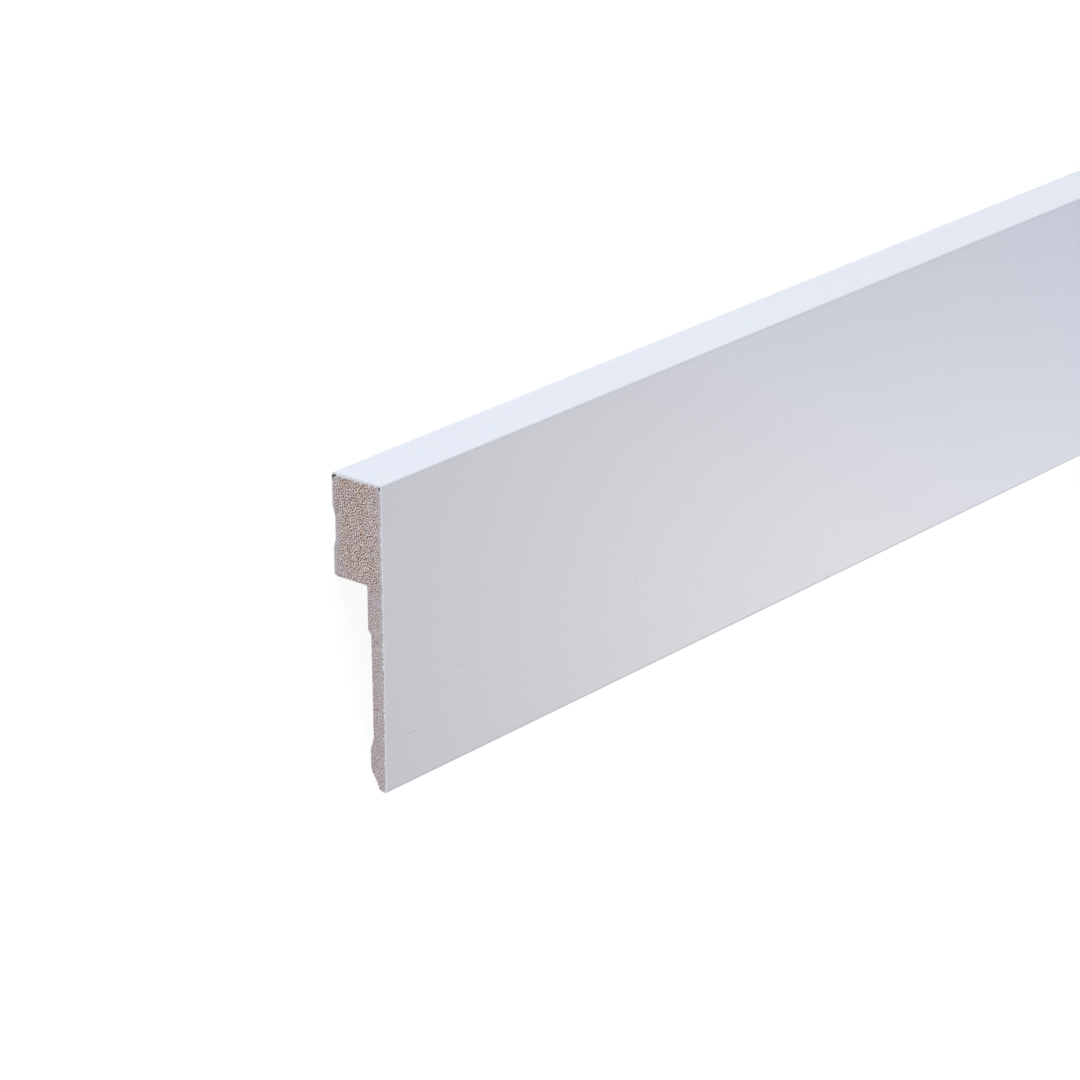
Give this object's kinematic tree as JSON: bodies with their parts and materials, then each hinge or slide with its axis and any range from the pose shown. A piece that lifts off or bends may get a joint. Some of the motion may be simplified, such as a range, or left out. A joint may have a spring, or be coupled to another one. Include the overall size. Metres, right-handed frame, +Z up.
{
  "type": "cover skirting board",
  "caption": "Straight skirting board with a thick head and a thin apron over a rebate, so that it covers an older skirting; white film on the front, top and upper back.",
  "frame": {"origin": "middle of the underside of the board's box as it lies face up on the floor", "axes": "+X along the board, +Y across it towards its top edge, +Z up; the front face looks up and leans towards -Y"},
  "size_m": [2.4, 0.1016, 0.0259],
  "materials": {
    "core": "fine-celled speckled composite, extruded outside and sawn at the ends",
    "film": "smooth satin white film"
  },
  "bodies": {
    "root": {"profile_core": "core", "white_film": "film"}
  },
  "joints": []
}
